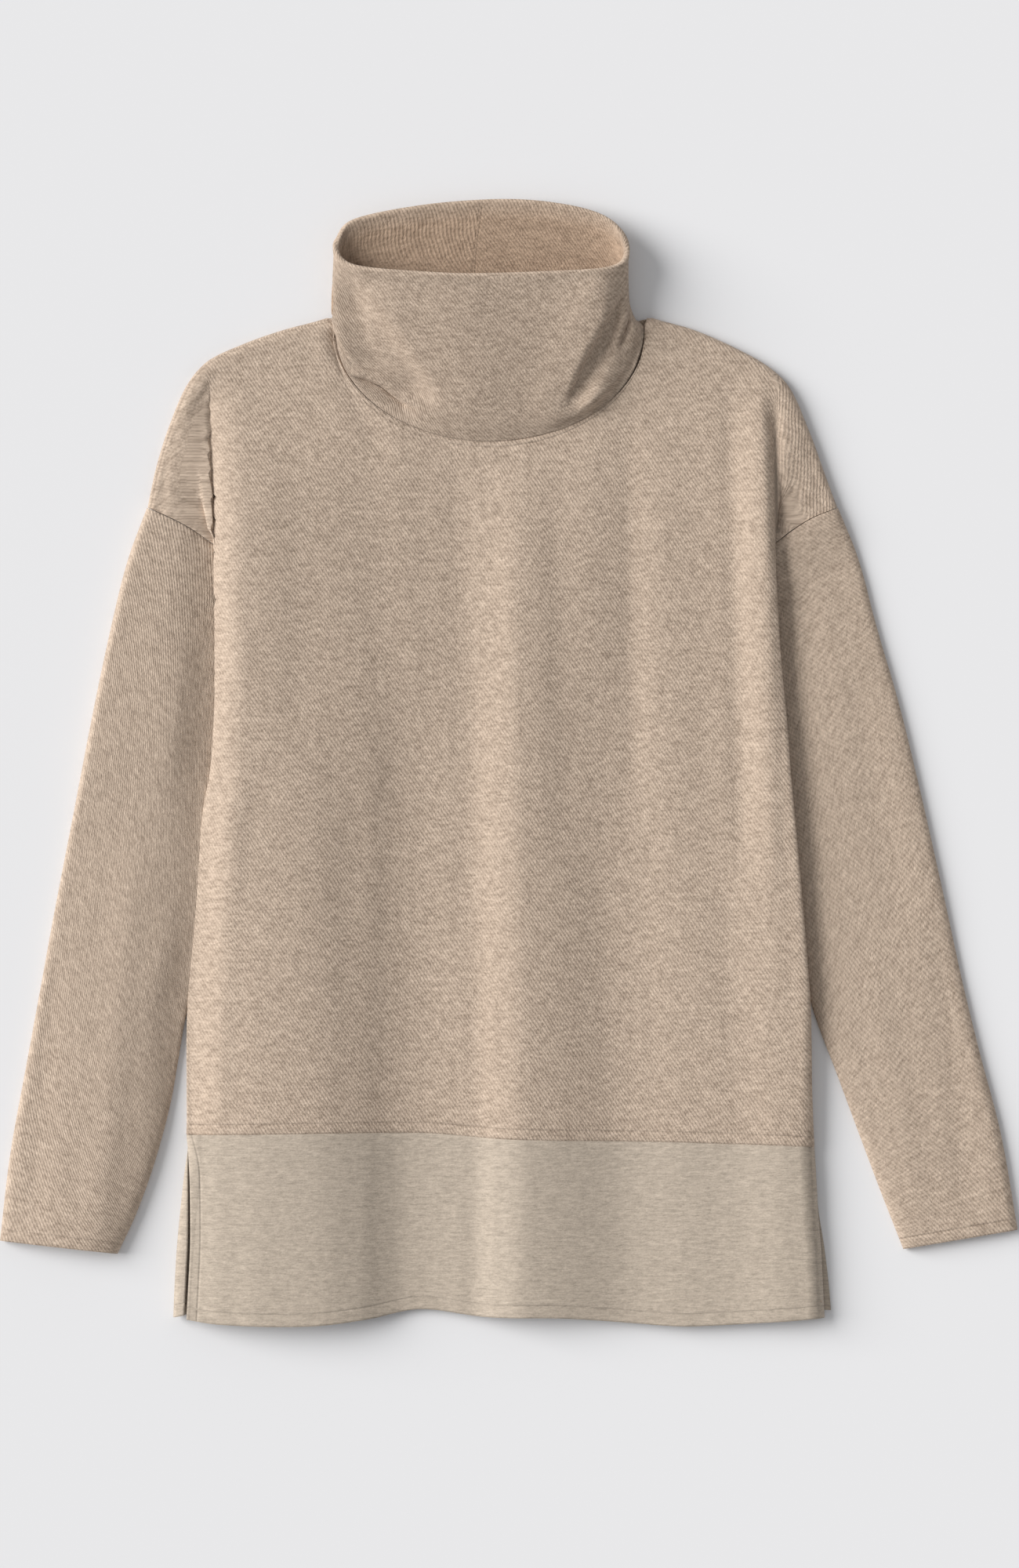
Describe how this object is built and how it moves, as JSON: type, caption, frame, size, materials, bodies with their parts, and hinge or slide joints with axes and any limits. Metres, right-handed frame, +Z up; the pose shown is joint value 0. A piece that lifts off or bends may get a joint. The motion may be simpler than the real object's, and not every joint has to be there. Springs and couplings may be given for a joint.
{
  "type": "knitted tunic",
  "caption": "Long-sleeved knitted tunic with a standing funnel collar, dropped shoulders and a hem band with side slits, laid flat face up.",
  "frame": {"origin": "middle of the underside of the bounding box, on the surface that the garment lies on", "axes": "+X to the right of the picture, across the garment; +Y from the hem to the collar; +Z up from the surface, out of the front"},
  "size_m": [0.7526, 0.8309, 0.0365],
  "materials": {
    "twill_knit": "matt",
    "collar_knit": "matt",
    "jersey_knit": "matt"
  },
  "bodies": {
    "root": {"front_panel": "twill_knit", "back_panel": "twill_knit", "sleeve_left": "twill_knit", "sleeve_right": "twill_knit", "collar": "collar_knit", "hem_band_front": "jersey_knit", "hem_band_back": "jersey_knit"}
  },
  "joints": []
}
